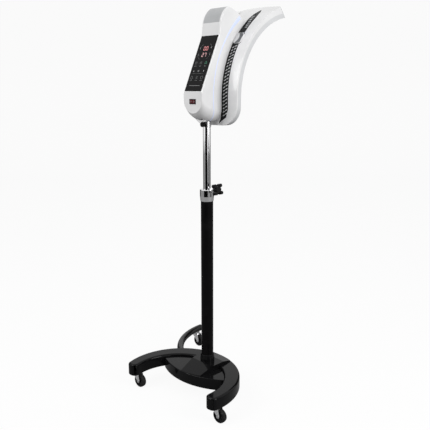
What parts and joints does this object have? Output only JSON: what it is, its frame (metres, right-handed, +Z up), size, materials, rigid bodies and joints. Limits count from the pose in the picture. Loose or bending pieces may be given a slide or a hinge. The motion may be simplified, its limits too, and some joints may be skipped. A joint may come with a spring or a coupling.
{
  "type": "hair color processor",
  "caption": "Salon infrared hair color processor: curved hood with vents and control housing on a height-adjustable column with a horseshoe caster base.",
  "frame": {"origin": "on the floor, on the axis of the upright column", "axes": "+Z up along the column, +X from the control panel's side towards the open side of the hood, +Y to the side that the rear leg curves to"},
  "size_m": [0.5746, 0.6194, 1.5775],
  "materials": {
    "white_moulding": "high gloss",
    "grey_rim": "satin",
    "panel_black": "high gloss",
    "vent_grey": "satin",
    "chrome": "polished",
    "bright_steel": "brushed",
    "pole_black": "satin powder coat",
    "base_black": "high gloss",
    "pan_black": "matt powder coat",
    "cast_weight": "as cast",
    "tyre_black": "matt",
    "core_grey": "matt",
    "knob_black": "satin",
    "reflector_sheet": "bright rolled",
    "quartz": "clear",
    "ceramic": "matt",
    "rocker_red": "gloss",
    "switch_black": "gloss",
    "board_green": "solder mask",
    "display_red": "gloss",
    "module_black": "matt",
    "bush_nylon": "matt"
  },
  "bodies": {
    "base": {"base_shell": "base_black", "hub_cover": "base_black", "base_pan": "pan_black", "ballast": "cast_weight", "base_screws": "bright_steel", "rear_leg": "base_black", "leg_plug": "knob_black", "caster_sockets": "bright_steel", "lower_pole": "pole_black", "pole_foot": "pan_black", "pole_boot": "base_black", "guide_bush": "bush_nylon", "clamp_collar": "chrome"},
    "column": {"column": "chrome", "column_shoe": "bush_nylon"},
    "neck": {"neck_socket": "bright_steel", "tilt_washers": "bush_nylon"},
    "thumb_screw": {"thumb_screw": "knob_black"},
    "head": {"tilt_bracket": "bright_steel", "tilt_bolt": "bright_steel", "hood_back": "white_moulding", "hood_rim": "grey_rim", "reflector": "reflector_sheet", "vent_strip_right": "vent_grey", "vent_strip_left": "vent_grey", "lamp_tubes": "quartz", "lamp_holders": "ceramic", "lamp_guard": "chrome", "housing_front": "white_moulding", "housing_rear": "white_moulding", "control_panel": "panel_black", "switch_frame": "switch_black", "control_board": "board_green", "led_displays": "display_red", "power_module": "module_black", "mains_inlet": "switch_black", "fan_frame": "switch_black"},
    "clamp_knob": {"star_knob": "knob_black", "knob_stud": "bright_steel"},
    "power_rocker": {"switch_rocker": "rocker_red"},
    "fan_rotor": {"fan_rotor": "switch_black"},
    "fork_left": {"caster_fork_left": "chrome", "caster_axle_left": "bright_steel"},
    "wheel_left": {"caster_core_left": "core_grey", "caster_tyre_left": "tyre_black"},
    "fork_right": {"caster_fork_right": "chrome", "caster_axle_right": "bright_steel"},
    "wheel_right": {"caster_core_right": "core_grey", "caster_tyre_right": "tyre_black"},
    "fork_back": {"caster_fork_back": "chrome", "caster_axle_back": "bright_steel"},
    "wheel_back": {"caster_core_back": "core_grey", "caster_tyre_back": "tyre_black"},
    "fork_leg": {"caster_fork_leg": "chrome", "caster_axle_leg": "bright_steel"},
    "wheel_leg": {"caster_core_leg": "core_grey", "caster_tyre_leg": "tyre_black"}
  },
  "joints": [
    {"name": "column_height", "type": "slide", "parent": "base", "child": "column", "axis": [0, 0, 1], "range_m": [-0.2, 0.2]},
    {"name": "head_swivel", "type": "hinge", "parent": "column", "child": "neck", "pos_m": [0, 0, 1.123], "axis": [0, 0, 1], "range_deg": [-90, 90]},
    {"name": "head_tilt", "type": "hinge", "parent": "neck", "child": "head", "pos_m": [0, 0, 1.151], "axis": [0, 1, 0], "range_deg": [-15, 15]},
    {"name": "thumb_screw_turn", "type": "hinge", "parent": "neck", "child": "thumb_screw", "pos_m": [0, 0, 1.118], "axis": [1, 0, 0], "range_deg": [0, 360]},
    {"name": "clamp_knob_turn", "type": "hinge", "parent": "base", "child": "clamp_knob", "pos_m": [0, 0, 0.854], "axis": [0, -0.9781, 0.2079], "range_deg": [0, 360]},
    {"name": "power_rocker_tilt", "type": "hinge", "parent": "head", "child": "power_rocker", "pos_m": [-0.068, 0, 1.206], "axis": [0, 0, 1], "range_deg": [-16, 0]},
    {"name": "fan_spin", "type": "hinge", "parent": "head", "child": "fan_rotor", "pos_m": [0.03078, 0, 1.28971], "axis": [0.9834, 0, -0.1813], "continuous": true},
    {"name": "fork_left_swivel", "type": "hinge", "parent": "base", "child": "fork_left", "pos_m": [-0.20468, 0.22179, 0.06], "axis": [0, 0, 1], "continuous": true},
    {"name": "wheel_left_roll", "type": "hinge", "parent": "fork_left", "child": "wheel_left", "pos_m": [-0.20349, 0.20483, 0.028], "axis": [0.9976, 0.0698, 0], "continuous": true},
    {"name": "fork_right_swivel", "type": "hinge", "parent": "base", "child": "fork_right", "pos_m": [-0.16104, -0.21535, 0.06], "axis": [0, 0, 1], "continuous": true},
    {"name": "wheel_right_roll", "type": "hinge", "parent": "fork_right", "child": "wheel_right", "pos_m": [-0.15986, -0.23231, 0.028], "axis": [0.9976, 0.0698, 0], "continuous": true},
    {"name": "fork_back_swivel", "type": "hinge", "parent": "base", "child": "fork_back", "pos_m": [0.0403, -0.07854, 0.06], "axis": [0, 0, 1], "continuous": true},
    {"name": "wheel_back_roll", "type": "hinge", "parent": "fork_back", "child": "wheel_back", "pos_m": [0.04149, -0.0955, 0.028], "axis": [0.9976, 0.0698, 0], "continuous": true},
    {"name": "fork_leg_swivel", "type": "hinge", "parent": "base", "child": "fork_leg", "pos_m": [0.25711, 0.34087, 0.06], "axis": [0, 0, 1], "continuous": true},
    {"name": "wheel_leg_roll", "type": "hinge", "parent": "fork_leg", "child": "wheel_leg", "pos_m": [0.2583, 0.32391, 0.028], "axis": [0.9976, 0.0698, 0], "continuous": true}
  ]
}
